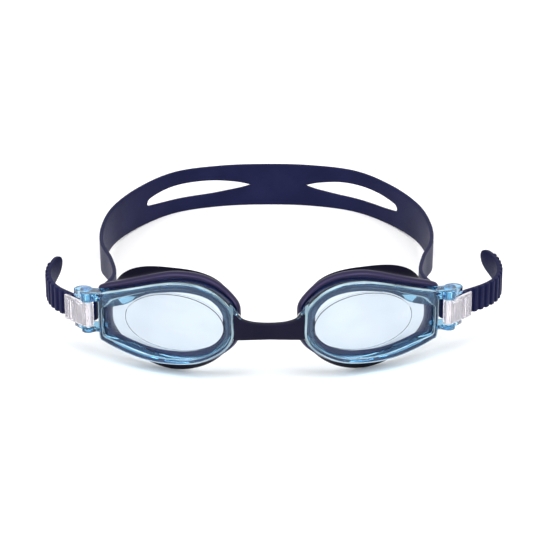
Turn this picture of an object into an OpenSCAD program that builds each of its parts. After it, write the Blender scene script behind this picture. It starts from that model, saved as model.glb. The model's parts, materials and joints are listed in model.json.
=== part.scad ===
// Swim goggles with swing-open strap clips, built as separate parts.
// Millimetres. +Z up, -Y is the front, X = 0 is the plane of symmetry.
// "left" and "right" are the wearer's: the left cup is on +X.
// The goggles stand on the lower rims of both seals and on the back of the strap.

/* [Eyecups] */
// Length of an eyecup's rim, nose to temple
cup_w = 54.6; // [52:0.1:56]
// Backward sweep of each eyecup, in degrees
wrap = 19; // [17:1:21]
// How far the front leans back when the goggles stand, in degrees
lean = 8.5; // [6:0.5:10]
// Distance between the two eyecup rims at the nose
nose_gap = 27; // [25:0.5:30]
// Depth of the eyecup frame
frame_d = 7; // [6.5:0.1:7.5]
// Thickness of the lens plate
lens_t = 1.8; // [1.4:0.1:2.2]

/* [Optic] */
// Half length of the oval optic
optic_ru = 20; // [17:0.1:20]
// Half height of the oval optic
optic_rv = 11.2; // [10:0.1:12.5]

/* [Seal] */
// Half length of the face flange
flange_ru = 26; // [25:0.1:27]
// Half height of the face flange
flange_rv = 20.6; // [20:0.1:22]
// Depth of the seal behind the frame
seal_d = 5.5; // [5:0.1:6.5]

/* [Strap] */
// Thickness of the strap's silicone
strap_t = 1.6; // [1.2:0.1:1.8]
// Width of the strap at the clips
strap_w = 9.6; // [9:0.1:9.8]
// Width of the split band behind the head
band_w = 20; // [18:0.5:22]
// Distance from the nose to the back of the band
loop_d = 170; // [160:1:180]
// How far the band's slits sit round towards the left
band_shift = 6; // [0:1:8]
// Free length of the left tail past the clip
left_tail_len = 47; // [40:1:48]
// Free length of the right tail past the clip
right_tail_len = 40; // [36:1:44]

/* [Clips] */
// Angle of each clip from the X axis, in degrees
clip_angle = 50; // [46:1:54]
// Length of the clip's cover past its pin
clip_len = 12; // [11:0.5:14]
// Radius of the clip pin
pin_r = 0.9; // [0.8:0.05:1]
// Radius of the strap roller
roller_r = 2.2; // [2:0.1:2.4]

/* [Hidden] */
eps = 0.01;
fit = 0.05;                                  // radial running clearance
gap = 0.3;                                   // clearance between parts that pass each other
smooth = 3;                                  // curve samples per outline point
round_fn = 64;

// Rim outline of the left cup as shares of its length, nose at u = 0, temple at u = 1
rim_shape = [
    [0, -3.6], [0.05, -8.6], [0.15, -12.8], [0.27, -15.8], [0.41, -17.1], [0.56, -17.3], [0.7, -16.3],
    [0.84, -14], [0.955, -11.4], [0.995, -9.3], [1, 0], [0.995, 6.8], [0.955, 8.8], [0.84, 10.4],
    [0.7, 12.4], [0.56, 14.4], [0.42, 15.8], [0.28, 15.8], [0.16, 14], [0.07, 10.8], [0.01, 7], [0, 2]];
cup_h = 33;                                  // height of that outline
cup_mid = [cup_w / 2, -0.5];

lens_front = 1.9;                            // depth of the lens plate's front face
lens_edge = -1.5;                            // lens outline against the rim outline
optic_mid = [24.2, -0.8];
optic_step = 0.4;                            // how far the optic stands proud of the plate on each face
// Outline of the window in the frame's front, in the cup's own coordinates
window_shape = [
    [3.5, -0.6], [4, -4.6], [6.2, -8.1], [10.4, -11.6], [16.6, -13.8], [24.2, -14.4], [31.4, -13.4],
    [37.3, -11.8], [43.6, -10.1], [49, -9.3], [52, -8.8], [52.8, -7.2], [52.9, -2], [52.8, 1.6], [52, 2.7],
    [47.6, 3.5], [42.4, 5.2], [38.4, 7.7], [33.8, 9.8], [28, 11], [21.6, 11.8], [15.2, 11.6], [9.8, 10.2],
    [6, 7.2], [4, 3.2]];
step_w = 2.6;                                // width of the recessed ledge round that window
step_edge = -2.8;                            // its outer edge against the rim outline at the most
step_d = 0.8;                                // how deep it lies

flange_mid = [27.4, -3.1];
sleeve_d = 5;                                // depth at which the seal's sleeve starts
seal_end = frame_d + seal_d;
lip_in = 4.6;                                // how far the flange's rolled edge turns inward

wing_x = nose_gap / 2 - 3.3;                 // tip of the web over the bridge

ear_gap = 5.2;                               // half gap between the yoke's ears
ear_top = 8.4;
ear_bottom = 7;
clip_h = 4.9;                                // half height of the clip's cover
cover_t = 1.5;
barrel_r = 2;
rib_h = 0.7;
rib_pitch = 3;
rib_top = 1.7;                               // length of a rib along the strap
rib_slope = 0.25;
cover_in = strap_t / 2 + rib_h + gap;        // inner face of the cover from the strap's middle

// Clip-local places: x along the clip, y outward from the strap's middle line
pin_at = [-1.5, 1.1];
roller_at = [5, -strap_t / 2 - gap / 3 - roller_r];
pin_from_rim = [3.4, 0.6];                   // the pin past the rim's temple end, in X and Y
temple = [nose_gap / 2 + cup_w * cos(wrap), cup_w * sin(wrap)];
pin_xy = temple + pin_from_rim;
roller_xy = clip_xy(roller_at);
mouth_x = clip_len + 0.5;

// The front assembly stands with the flanges' lowest points on Z = 0, the whole centred on Y
front_y = 0.6 - loop_d / 2;
front_z = (flange_mid[0] * sin(wrap) + seal_end * cos(wrap)) * sin(lean) - flange_mid[1] * cos(lean)
    + norm([flange_ru * sin(wrap) * sin(lean), flange_rv * cos(lean)]);

// Head strap past the left roller: X, share of the way back, width, height of the lower edge
strap_route = [
    [64.8, 0.06, 9.6, 17], [61, 0.17, 10, 14.4], [63.6, 0.3, 11.2, 11], [68.6, 0.43, 13.4, 7],
    [69.5, 0.57, 15.4, 3.6], [66, 0.71, 17.2, 1.4], [56, 0.84, 18.8, 0.3], [41, 0.94, 20, 0],
    [21, 0.988, 20, 0], [0, 1, 20, 0]];
// Band slit, from its pointed tip by the middle to its blunt outer end: X and height, then half height
slit_shape = [[12.4, 0.1], [19, 1.9], [28, 3.3], [38, 3.6], [46, 3.2], [51.5, 2], [53, 0.6]];

// Tails past the clip's mouth, in plan
left_tail_shape = [[0, 0], [5.2, 4.6], [8.8, 9.6], [10.3, 16], [10.4, 24], [9.2, 32], [6.8, 39.5]];
right_tail_shape = [[0, 0], [4.2, 4.2], [7, 9.2], [8.4, 15.5], [8.3, 22], [7, 28.5], [4.8, 34.5]];
tail_taper = 14;                             // length of the tapered end
smooth_end = 9;                              // length at the end without ribs

function rot2(p, a) = [p[0] * cos(a) - p[1] * sin(a), p[0] * sin(a) + p[1] * cos(a)];
function clip_xy(p) = pin_xy + rot2([p[0] - pin_at[0], -(p[1] - pin_at[1])], clip_angle);
function leaned_pt(p) = [
    p[0], front_y + p[1] * cos(lean) + p[2] * sin(lean), front_z - p[1] * sin(lean) + p[2] * cos(lean)];

// Catmull-Rom curves through points, and a walk along one by length
function spline_at(p0, p1, p2, p3, t) =
    0.5 * (2 * p1 + (p2 - p0) * t + (2 * p0 - 5 * p1 + 4 * p2 - p3) * t * t
           + (3 * p1 - p0 - 3 * p2 + p3) * t * t * t);
function closed_curve(p, n = smooth) = let (m = len(p))
    [for (i = [0:m - 1], k = [0:n - 1])
        spline_at(p[(i + m - 1) % m], p[i], p[(i + 1) % m], p[(i + 2) % m], k / n)];
function open_curve(p, n = smooth) = let (m = len(p))
    [for (i = [0:m - 2], k = [0:n - 1])
        spline_at(p[max(i - 1, 0)], p[i], p[i + 1], p[min(i + 2, m - 1)], k / n), p[m - 1]];
function path_len(p, i = 0) = i > len(p) - 2 ? 0 : norm(p[i + 1] - p[i]) + path_len(p, i + 1);
function walk(p, s, i = 0) = let (d = norm(p[i + 1] - p[i]))
    s <= d || i == len(p) - 2 ? p[i] + (p[i + 1] - p[i]) * s / d : walk(p, s - d, i + 1);
function heading(p, i) = let (d = p[min(i + 1, len(p) - 1)] - p[max(i - 1, 0)]) d / norm(d);

// The rim outline grown by g, turning into the flange's fuller oval as mix goes from 0 to 1
function grown(p, g) = [cup_mid[0] + (p[0] - cup_mid[0]) * (1 + 2 * g / cup_w),
                        cup_mid[1] + (p[1] - cup_mid[1]) * (1 + 2 * g / cup_h)];
function fuller(x, power) = sign(x) * pow(abs(x), power);
function oval(p, g) = let (a = atan2((p[1] - cup_mid[1]) / cup_h, (p[0] - cup_mid[0]) / cup_w))
    flange_mid + [(flange_ru + 0.3 * g) * fuller(cos(a), sin(a) > 0 ? 0.75 : 1.05),
                  (flange_rv + g) * fuller(sin(a), sin(a) > 0 ? 0.75 : 1.05)];
function rim(g, mix = 0, flange_g = 0) =
    [for (p = closed_curve([for (s = rim_shape) [s[0] * cup_w, s[1]]]))
        grown(p, g) * (1 - mix) + oval(p, flange_g) * mix];
function ellipse(mid, ru, rv, n = 48) =
    [for (i = [0:n - 1]) mid + [ru * cos(360 * i / n), rv * sin(360 * i / n)]];

// Placement: the leaning front assembly, one side of it, and a cup's own frame within it
module leaned() translate([0, front_y, front_z]) rotate([-lean, 0, 0]) children();
module side(s) {
    if (s > 0) children();
    else mirror([1, 0, 0]) children();
}
module on_side(s) leaned() side(s) children();
module cup_place() translate([nose_gap / 2, 0, 0]) rotate([0, 0, wrap]) children();
module slab(points, from, to) cup_place()
    translate([0, to, 0]) rotate([90, 0, 0]) linear_extrude(to - from) polygon(points);

// A closed skin over rings of points: joined into a torus, or capped at both ends
module skin(rings, capped) {
    m = len(rings);
    n = len(rings[0]);
    last = capped ? m - 2 : m - 1;
    sides = [for (i = [0:last], j = [0:n - 1], half = [0, 1]) let (
        a = i * n + j, b = i * n + (j + 1) % n,
        c = ((i + 1) % m) * n + (j + 1) % n, d = ((i + 1) % m) * n + j)
        half == 0 ? [a, b, c] : [a, c, d]];
    caps = capped ? [[for (j = [n - 1:-1:0]) j], [for (j = [0:n - 1]) (m - 1) * n + j]] : [];
    polyhedron(points = [for (r = rings, p = r) p], faces = concat(sides, caps), convexity = 8);
}

// Eyecup frame: rim with a stepped front, bridge socket and the yoke that carries clip and roller
module frame() color([0.45, 0.72, 0.9]) difference() {
    union() {
        slab(rim(0), 0, frame_d);
        yoke_ear(ear_gap, ear_top);
        yoke_ear(-ear_bottom, -ear_gap);
        bridge_wing();
    }
    slab(closed_curve(window_shape), -1, frame_d + 1);
    window_step();
    slab(rim(lens_edge), lens_front - fit, frame_d + 1);
    bridge_tab(fit);
    axle_hole(pin_xy, pin_r);
    axle_hole(roller_xy, roller_r / 2 + fit);
}
module axle_hole(at, r) translate([at[0], at[1], 1 - ear_bottom])
    cylinder(r = r, h = ear_bottom + ear_top - 2, $fn = round_fn);
// One ear of the yoke, from height low to high, grown by g
module yoke_ear(low, high, g = 0) {
    pin_wall = 2.8 + g;
    lobe = roller_xy + [1.4, -1.8];
    lobe_r = 3.5 + g;
    translate([0, 0, low]) linear_extrude(high - low) polygon(concat(
        [temple + [-5.5, -1.6], temple + [0.6, -0.6 - g]],
        [for (t = [-150:20:-30]) pin_xy + pin_wall * [cos(t + clip_angle), sin(t + clip_angle)]],
        [for (t = [-60:20:120]) lobe + lobe_r * [cos(t + clip_angle), sin(t + clip_angle)]],
        [temple + [-3.4, 6.2 + g], temple + [-6.2, 3.6]]));
}
// The recess round the window
module window_step() cup_place() translate([0, step_d, 0]) rotate([90, 0, 0])
    linear_extrude(step_d + 1) intersection() {
        offset(r = step_w) polygon(closed_curve(window_shape));
        polygon(rim(step_edge));
    }
// A web on the nose side that reaches over the bridge's end
module bridge_wing() difference() {
    translate([0, 3.7, 0]) rotate([90, 0, 0]) linear_extrude(3) polygon([
        [wing_x + 4.4, 5.1], [wing_x + 2.1, 5.1], [wing_x + 1.1, 3.95], [wing_x + 0.2, 3.4], [wing_x, 3.7],
        [wing_x + 1.6, 5.8], [wing_x + 3.2, 8.4], [wing_x + 4.4, 9.4]]);
    slab(rim(lens_edge), -2, frame_d);
}
// The bridge's end: a tab in the rim's nose side, grown all round by g
module bridge_tab(g) cup_place() translate([-1.5, 1.2 - g, -3.6 - g])
    cube([2.4 + g, 2 + 2 * g, 7.4 + 2 * g]);

// Lens: plate with an oval optic standing proud of it on both faces
module lens() color([0.8, 0.9, 0.97]) {
    slab(rim(lens_edge - fit), lens_front, lens_front + lens_t);
    slab(ellipse(optic_mid, optic_ru, optic_rv), lens_front - optic_step, lens_front + lens_t + optic_step);
}

// Silicone seal: a sleeve round the frame's back edge, a waist and the face flange, in one closed ring
// Each row: growth past the rim, share of the flange's oval, growth past the oval, depth
seal_section = [
    [1, 0, 0, sleeve_d], [1.7, 0, 0, sleeve_d + 0.9], [1.8, 0, 0, frame_d + 0.4],
    [1.5, 0.25, -1, frame_d + 1.9], [1, 0.6, -1, frame_d + 3.2], [0, 0.9, 0, frame_d + 4.4],
    [0, 1, 0, seal_end], [0, 1, -1, seal_end], [0, 1, -lip_in, seal_end - 1.3],
    [-3, 0.6, -lip_in, frame_d + 2.8], [-3.4, 0.2, -lip_in, frame_d + 1.6],
    [-3.4, 0, 0, frame_d + fit], [fit, 0, 0, frame_d + fit], [fit, 0, 0, sleeve_d]];
module seal() color([0.16, 0.16, 0.3]) difference() {
    cup_place() skin([for (s = seal_section)
        [for (p = rim(s[0], s[1], s[2])) [p[0], s[3], p[1]]]], capped = false);
    yoke_ear(ear_gap - gap, ear_top + gap, gap);
    yoke_ear(-ear_bottom - gap, gap - ear_gap, gap);
}

// Clip: a clear cover on a barrel, with grip bars outside and a pawl for the strap's ribs inside
module clip() color([0.9, 0.92, 0.95]) translate([pin_xy[0], pin_xy[1], 0]) rotate([0, 0, clip_angle])
    difference() {
        union() {
            cylinder(r = barrel_r, h = 2 * clip_h, center = true, $fn = round_fn);
            translate([0, pin_at[1] - cover_in - cover_t, -clip_h])
                cube([clip_len - pin_at[0], cover_t, 2 * clip_h]);
            translate([clip_len - 1, pin_at[1] - cover_in - eps, 1 - clip_h])
                cube([1, gap / 2, 2 * clip_h - 2]);
            for (i = [0:3]) translate([5 + 1.8 * i, pin_at[1] - cover_in - cover_t - 0.4, 1.4 - clip_h])
                cube([1, 0.4 + eps, 2 * clip_h - 2.8]);
        }
        cylinder(r = pin_r + fit, h = 3 * clip_h, center = true, $fn = round_fn);
    }
module clip_pin() color([0.8, 0.82, 0.86]) translate([pin_xy[0], pin_xy[1], 1 - ear_bottom])
    cylinder(r = pin_r, h = ear_bottom + ear_top - 2, $fn = round_fn);
module roller() color([0.5, 0.75, 0.9]) translate([roller_xy[0], roller_xy[1], 0]) {
    cylinder(r = roller_r, h = 2 * (ear_gap - fit), center = true, $fn = round_fn);
    translate([0, 0, 1.2 - ear_bottom])
        cylinder(r = roller_r / 2, h = ear_bottom + ear_top - 2.4, $fn = round_fn);
}

// Bridge: a soft bar from rim to rim, hollowed above for the nose
module nose_bridge() color([0.1, 0.1, 0.2]) leaned() {
    end = nose_gap / 2 + 0.2;
    hollow = [for (a = [0:12:180]) [-12.2 * cos(a), 4.9 - 3.4 * sin(a)]];
    difference() {
        translate([0, 4, 0]) rotate([90, 0, 0]) linear_extrude(3.4) polygon(concat(
            [[-end, 4.9]], hollow, [[end, 4.9], [end, -4.6], [0, -4.1], [-end, -4.6]]));
        for (s = [-1, 1]) side(s) slab(rim(fit), -3, frame_d);
    }
    for (s = [-1, 1]) side(s) bridge_tab(0);
}

// A strap's cross-section: corners at p, wide along its upright edge, n is its outward normal in plan
function section(p, n, inner, outer, w, tilt) = [
    for (c = [[outer, -1], [outer, 1], [-inner, 1], [-inner, -1]]) p + [
        n[0] * c[0],
        n[1] * c[0] * cos(tilt) + c[1] * w / 2 * sin(tilt),
        -n[1] * c[0] * sin(tilt) + c[1] * w / 2 * cos(tilt)]];

// Head strap: round one roller, back along the head, split behind it, and round the other roller
wrap_r = roller_r + gap / 3 + strap_t / 2;
roller_turn = [for (a = [clip_angle - 94:-12:clip_angle - 220]) roller_xy + wrap_r * [cos(a), sin(a)]];
roller_back = leaned_pt([roller_xy[0], roller_xy[1], 0]);
// Stations of the left half: place, width and tilt
turn_stations = [for (p = roller_turn) [leaned_pt([p[0], p[1], 0]), strap_w, lean]];
side_stations = [for (r = open_curve(strap_route, 4)) let (
    y = roller_back[1] + r[1] * (loop_d / 2 - strap_t / 2 - roller_back[1]),
    w = r[2] <= strap_w ? strap_w : strap_w + (r[2] - strap_w) * (band_w - strap_w) / (20 - strap_w))
    [[r[0], y, max(r[3], 0) + w / 2], w, lean * max(0, 1 - 1.6 * r[1])]];
half = concat(turn_stations, side_stations);
whole = concat(half, [for (i = [len(half) - 2:-1:0])
    [[-half[i][0][0], half[i][0][1], half[i][0][2]], half[i][1], half[i][2]]]);
strap_line = [for (s = whole) [s[0][0], s[0][1]]];
module head_strap() color([0.16, 0.17, 0.34]) difference() {
    skin([for (i = [0:len(whole) - 1]) let (h = heading(strap_line, i))
        section(whole[i][0], [h[1], -h[0]], strap_t / 2, strap_t / 2, whole[i][1], whole[i][2])],
        capped = true);
    for (s = [-1, 1]) translate([band_shift, loop_d / 2 + 1, band_w / 2]) rotate([90, 0, 0])
        linear_extrude(loop_d / 3) slit(s);
}
// One slit: the right one is stretched, because the shift leaves it flatter across than the left one
module slit(s) {
    stretch = s > 0 ? 1 : 1.16;
    start = slit_shape[0][0];
    edge = [for (p = open_curve(slit_shape)) [start + (p[0] - start) * stretch, p[1]]];
    polygon(concat([for (p = edge) [s * p[0], p[1]]],
                   [for (i = [len(edge) - 1:-1:0]) [s * edge[i][0], -edge[i][1]]]));
}

// Strap tail: from the roller through the clip, then free, ribbed outside and tapered to its end
module strap_tail(shape, length) color([0.14, 0.15, 0.3]) {
    mouth = clip_xy([mouth_x, 0]);
    free = open_curve(shape, 4) * length / path_len(shape);
    line = concat([for (x = [roller_at[0] + eps:2:mouth_x - 1]) clip_xy([x, 0])], [for (p = free) mouth + p]);
    total = path_len(line);
    ribs = floor((total - smooth_end) / rib_pitch);
    rib_profile = [[0, 0], [rib_slope, 1], [rib_slope + rib_top, 1], [2 * rib_slope + rib_top, 0]];
    stops = concat(
        [for (k = [0:ribs - 1], e = rib_profile)
            [1.2 + k * rib_pitch + e[0], e[1] * rib_h]],
        [for (t = [0, 0.2, 0.4, 0.6, 0.75, 0.87, 0.95, 1]) [total - smooth_end * (1 - t), 0]]);
    points = [for (s = concat([[0, 0]], stops)) walk(line, s[0])];
    skin([for (i = [0:len(points) - 1]) let (
        s = i == 0 ? 0 : stops[i - 1][0],
        rib = i == 0 ? 0 : stops[i - 1][1],
        p = points[i],
        a = walk(line, max(s - 0.6, 0)),
        b = walk(line, min(s + 0.6, total)),
        h = (b - a) / norm(b - a),
        t = max(0, 1 - (total - s) / tail_taper),
        rise = max(0, p[1] - mouth[1]) * tan(lean))
        section([p[0], p[1], rise], [h[1], -h[0]], strap_t / 2, strap_t / 2 + rib,
                strap_w * max(0.2, sqrt(1 - t * t * t)), 0)], capped = true);
}

on_side(1) frame();  // left_frame
on_side(-1) frame();  // right_frame
on_side(1) lens();  // left_lens
on_side(-1) lens();  // right_lens
on_side(1) seal();  // left_seal
on_side(-1) seal();  // right_seal
on_side(1) clip();  // left_clip
on_side(-1) clip();  // right_clip
on_side(1) clip_pin();  // left_clip_pin
on_side(-1) clip_pin();  // right_clip_pin
on_side(1) roller();  // left_roller
on_side(-1) roller();  // right_roller
on_side(1) strap_tail(left_tail_shape, left_tail_len);  // left_strap_tail
on_side(-1) strap_tail(right_tail_shape, right_tail_len);  // right_strap_tail
nose_bridge();
head_strap();
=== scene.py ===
# Swim goggles: the visual model. Lengths in the shape lists are millimetres, Blender's are metres.
import json
import math
from contextlib import contextmanager

import bmesh
import bpy
import numpy as np
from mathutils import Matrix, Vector


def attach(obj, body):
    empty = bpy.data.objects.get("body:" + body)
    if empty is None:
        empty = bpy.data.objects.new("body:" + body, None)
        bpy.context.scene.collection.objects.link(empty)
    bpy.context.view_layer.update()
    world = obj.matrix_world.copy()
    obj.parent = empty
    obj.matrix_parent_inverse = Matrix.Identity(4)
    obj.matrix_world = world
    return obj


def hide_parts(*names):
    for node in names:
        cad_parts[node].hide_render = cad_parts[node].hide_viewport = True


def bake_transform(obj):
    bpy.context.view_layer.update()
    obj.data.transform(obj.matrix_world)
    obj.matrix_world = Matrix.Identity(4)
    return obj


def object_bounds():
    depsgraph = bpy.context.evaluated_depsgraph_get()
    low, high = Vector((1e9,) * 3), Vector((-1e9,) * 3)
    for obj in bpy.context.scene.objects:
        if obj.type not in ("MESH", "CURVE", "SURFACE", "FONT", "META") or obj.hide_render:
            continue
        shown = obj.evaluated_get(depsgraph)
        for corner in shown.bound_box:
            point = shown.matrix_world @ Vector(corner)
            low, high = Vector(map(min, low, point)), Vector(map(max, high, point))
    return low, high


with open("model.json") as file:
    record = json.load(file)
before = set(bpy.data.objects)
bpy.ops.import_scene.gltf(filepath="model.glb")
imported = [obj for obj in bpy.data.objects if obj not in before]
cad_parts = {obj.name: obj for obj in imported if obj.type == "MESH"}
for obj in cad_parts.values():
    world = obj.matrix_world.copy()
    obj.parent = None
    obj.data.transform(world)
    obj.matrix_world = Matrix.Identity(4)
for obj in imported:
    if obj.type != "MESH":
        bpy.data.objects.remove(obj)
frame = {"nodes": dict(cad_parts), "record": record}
CAD_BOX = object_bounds()
MM = 0.001

# ---------------------------------------------------------------- the frame's own places
RECORD = frame["record"]
JOINTS = {j["name"]: j for j in RECORD["behaviour"]["joints"]}
MOUNTS = {m["name"]: m for m in RECORD["mounts"]}
SIDES = {"left": 1, "right": -1}


def vec(values):
    return np.array(values, float)


def unit(v):
    return v / np.linalg.norm(v)


# All of this is the left side's. The right side is its mirror image in X.
UP = unit(vec(JOINTS["left_cup_flex"]["axis"]))
FRONT = unit(vec(MOUNTS["left_optic_face"]["axis"]))          # out of the lens
ALONG = np.cross(UP, FRONT)                                   # nose to temple
CLIP_DIR = unit(vec(JOINTS["left_strap_pull"]["axis"]))
CLIP_OUT = np.cross(CLIP_DIR, UP)                             # out of the clip's cover
PIN = vec(JOINTS["left_clip_open"]["pos_m"])
ROLLER = vec(JOINTS["left_roller_spin"]["pos_m"])
LEVEL = np.cross(UP, (1, 0, 0))                               # backward in the leaning front

# The cup's own coordinates: u from the nose, v up, d back from the rim's front, in millimetres
OPTIC_UVD = (24.2, -0.8, 1.5)                                 # the middle of the optic's face
CUP_W, CUP_H = 54.6, 33.0
CUP_ORIGIN = vec(MOUNTS["left_optic_face"]["pos_m"]) - MM * (
    OPTIC_UVD[0] * ALONG + OPTIC_UVD[1] * UP - OPTIC_UVD[2] * FRONT)


def cup(u, v, d):
    return CUP_ORIGIN + MM * (u * ALONG + v * UP - d * FRONT)


# The clip's own coordinates: x along the strap, y outward from its middle line, z up; from the pin
PIN_X, PIN_Y = -1.5, 1.1
STRAP_T, STRAP_W = 1.6, 9.6


def clip(x, y, z):
    return PIN + MM * ((x - PIN_X) * CLIP_DIR + (y - PIN_Y) * CLIP_OUT + z * UP)


# The leaning front's coordinates: x from the middle, y back from the nose, z up
X_AXIS = vec((1, 0, 0))
NOSE_TO_PIN = 18.376                                          # how far the pin is behind the nose line
NOSE = PIN - PIN[0] * X_AXIS - MM * NOSE_TO_PIN * LEVEL


def front(x, y, z):
    return NOSE + MM * (x * X_AXIS + y * LEVEL + z * UP)


# ---------------------------------------------------------------- curves
def catmull(points, samples, closed=False):
    """A smooth curve through points, with samples steps from each to the next."""
    p = np.array(points, float)
    n = len(p)
    out = []
    for i in range(n if closed else n - 1):
        pick = [(i + k) % n if closed else min(max(i + k, 0), n - 1) for k in (-1, 0, 1, 2)]
        a, b, c, d = (p[k] for k in pick)
        for t in np.arange(samples) / samples:
            out.append(0.5 * (2 * b + (c - a) * t + (2 * a - 5 * b + 4 * c - d) * t ** 2
                              + (3 * b - a - 3 * c + d) * t ** 3))
    if not closed:
        out.append(p[-1])
    return np.array(out)


def lengths(points):
    return np.concatenate([[0], np.cumsum(np.linalg.norm(np.diff(points, axis=0), axis=1))])


def along(points, table, s):
    return vec([np.interp(s, table, points[:, k]) for k in range(points.shape[1])])


# ---------------------------------------------------------------- the cup's outlines
# The rim as seen from the front: share of the cup's width from the nose, height
RIM_SHAPE = [
    (0, -3.6), (0.05, -8.6), (0.15, -12.8), (0.27, -15.8), (0.41, -17.1), (0.56, -17.3), (0.7, -16.3),
    (0.84, -14), (0.955, -11.4), (0.995, -9.3), (1, 0), (0.995, 6.8), (0.955, 8.8), (0.84, 10.4),
    (0.7, 12.4), (0.56, 14.4), (0.42, 15.8), (0.28, 15.8), (0.16, 14), (0.07, 10.8), (0.01, 7), (0, 2)]
CUP_MID = vec((CUP_W / 2, -0.5))
RIM = catmull([(u * CUP_W, v) for u, v in RIM_SHAPE], 8, closed=True)
RIM_SPREAD = (RIM - CUP_MID) / (CUP_W, CUP_H)
RIM_ANGLE = np.arctan2(RIM_SPREAD[:, 1], RIM_SPREAD[:, 0])
FLANGE_MID, FLANGE_R = vec((28.6, -3.1)), vec((25.6, 20.6))   # the seal's face flange, an oval
FULL_TOP, FULL_BOTTOM = 0.69, 1.05                            # powers for the oval: less is squarer
LIP_SHARE = vec((0.3, 1))                                     # how far the rolled lip turns in, across and up
# The window in the frame's front, in the cup's own u and v
WINDOW_SHAPE = [
    (3.5, -0.6), (4, -4.6), (6.2, -8.1), (10.4, -11.6), (16.6, -13.8), (24.2, -14.4), (31.4, -13.4),
    (37.3, -11.8), (43.6, -10.1), (49, -9.3), (52, -8.8), (52.8, -7.2), (52.9, -2), (52.8, 1.6), (52, 2.7),
    (47.6, 3.5), (42.4, 5.2), (38.4, 7.7), (33.8, 9.8), (28, 11), (21.6, 11.8), (15.2, 11.6), (9.8, 10.2),
    (6, 7.2), (4, 3.2)]


def fuller(x):
    """A sine or cosine of the rim's angles, drawn toward 1 or -1 above the middle."""
    return np.sign(x) * np.abs(x) ** np.where(np.sin(RIM_ANGLE) > 0, FULL_TOP, FULL_BOTTOM)


def rim(growth=0.0, mix=0.0, flange_growth=0.0):
    """The rim's outline grown by growth, turning into the face flange's oval as mix goes from 0 to 1."""
    rim_line = CUP_MID + (RIM - CUP_MID) * (1 + 2 * growth / vec((CUP_W, CUP_H)))
    turn = np.stack([fuller(np.cos(RIM_ANGLE)), fuller(np.sin(RIM_ANGLE))], 1)
    return rim_line * (1 - mix) + (FLANGE_MID + (FLANGE_R + flange_growth * LIP_SHARE) * turn) * mix


def window_outline():
    """The window's outline with one point for each of the rim's, at the same angle from the middle."""
    line = (catmull(WINDOW_SHAPE, 10, closed=True) - CUP_MID) / (CUP_W, CUP_H)
    angle, reach = np.arctan2(line[:, 1], line[:, 0]), np.linalg.norm(line, axis=1)
    order = np.argsort(angle)
    r = np.interp(RIM_ANGLE, angle[order], reach[order], period=2 * math.pi)
    return CUP_MID + np.stack([np.cos(RIM_ANGLE) * r * CUP_W, np.sin(RIM_ANGLE) * r * CUP_H], 1)


WINDOW = window_outline()


# ---------------------------------------------------------------- mesh building
DOUBLED = 1e-7                                                # points this near in metres are one
AT_MIDDLE = 0.05 * MM                                         # how near the symmetry plane counts as on it
OFF_AXIS = (0.3, 0.5, 0.8)                                    # any direction that no rod runs in


def skin(rings, closed=False):
    """Faces over rings of points: a closed torus of rings, or a tube with capped ends."""
    n = len(rings[0])
    m = len(rings)
    points = np.concatenate([np.array(r) for r in rings])
    faces = []
    for i in range(m if closed else m - 1):
        for j in range(n):
            a, b = i * n + j, i * n + (j + 1) % n
            c, d = (i + 1) % m * n + (j + 1) % n, (i + 1) % m * n + j
            faces.append((a, b, c, d))
    if not closed:
        faces.append(tuple(range(n - 1, -1, -1)))
        faces.append(tuple((m - 1) * n + j for j in range(n)))
    return points, faces


def add_object(name, data):
    obj = bpy.data.objects.new(name, data)
    bpy.context.scene.collection.objects.link(obj)
    return obj


def mesh_from(name, points, faces):
    data = bpy.data.meshes.new(name)
    data.from_pydata([tuple(p) for p in points], [], faces)
    data.update()
    return add_object(name, data)


@contextmanager
def editing(obj):
    """Opens obj's mesh for editing, and writes it back."""
    b = bmesh.new()
    b.from_mesh(obj.data)
    yield b
    b.to_mesh(obj.data)
    b.free()
    obj.data.update()


def outward(obj):
    """Merges doubled points and turns every face outward."""
    with editing(obj) as b:
        bmesh.ops.remove_doubles(b, verts=b.verts, dist=DOUBLED)
        bmesh.ops.recalc_face_normals(b, faces=b.faces)
        if b.calc_volume(signed=True) < 0:
            bmesh.ops.reverse_faces(b, faces=b.faces)
    return obj


def smooth(obj, angle):
    """Smooth shading with edges sharper than angle kept crisp."""
    with editing(obj) as b:
        for f in b.faces:
            f.smooth = True
        for e in b.edges:
            e.smooth = len(e.link_faces) != 2 or e.calc_face_angle(0) < math.radians(angle)
    return obj


def solid(name, rings, closed=False):
    """A solid piece with its surface over rings of points."""
    return outward(mesh_from(name, *skin(rings, closed)))


def prism(name, outline, low, high, place):
    """An outline in two coordinates, carried from low to high in the third by place(a, b, c)."""
    n = len(outline)
    points = [place(p[0], p[1], low) for p in outline] + [place(p[0], p[1], high) for p in outline]
    faces = [tuple(range(n)), tuple(range(2 * n - 1, n - 1, -1))]
    faces += [(i, i + n, (i + 1) % n + n, (i + 1) % n) for i in range(n)]
    return outward(mesh_from(name, points, faces))


def soften(obj, width, segments=3, angle=35):
    """Rounds the edges sharper than angle, to width in millimetres."""
    with editing(obj) as b:
        sharp = [e for e in b.edges if len(e.link_faces) == 2 and e.calc_face_angle(0) > math.radians(angle)]
        bmesh.ops.bevel(b, geom=sharp, offset=width * MM, segments=segments, profile=0.5,
                        affect="EDGES", clamp_overlap=True)
    return obj


def combine(obj, others, operation):
    """Joins others to obj, or cuts them from it, and removes them."""
    for other in others:
        m = obj.modifiers.new("combine", "BOOLEAN")
        m.operation = operation
        m.object = other
        m.solver = "MANIFOLD"
        bake(obj)
        bpy.data.objects.remove(other)
    return obj


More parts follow.
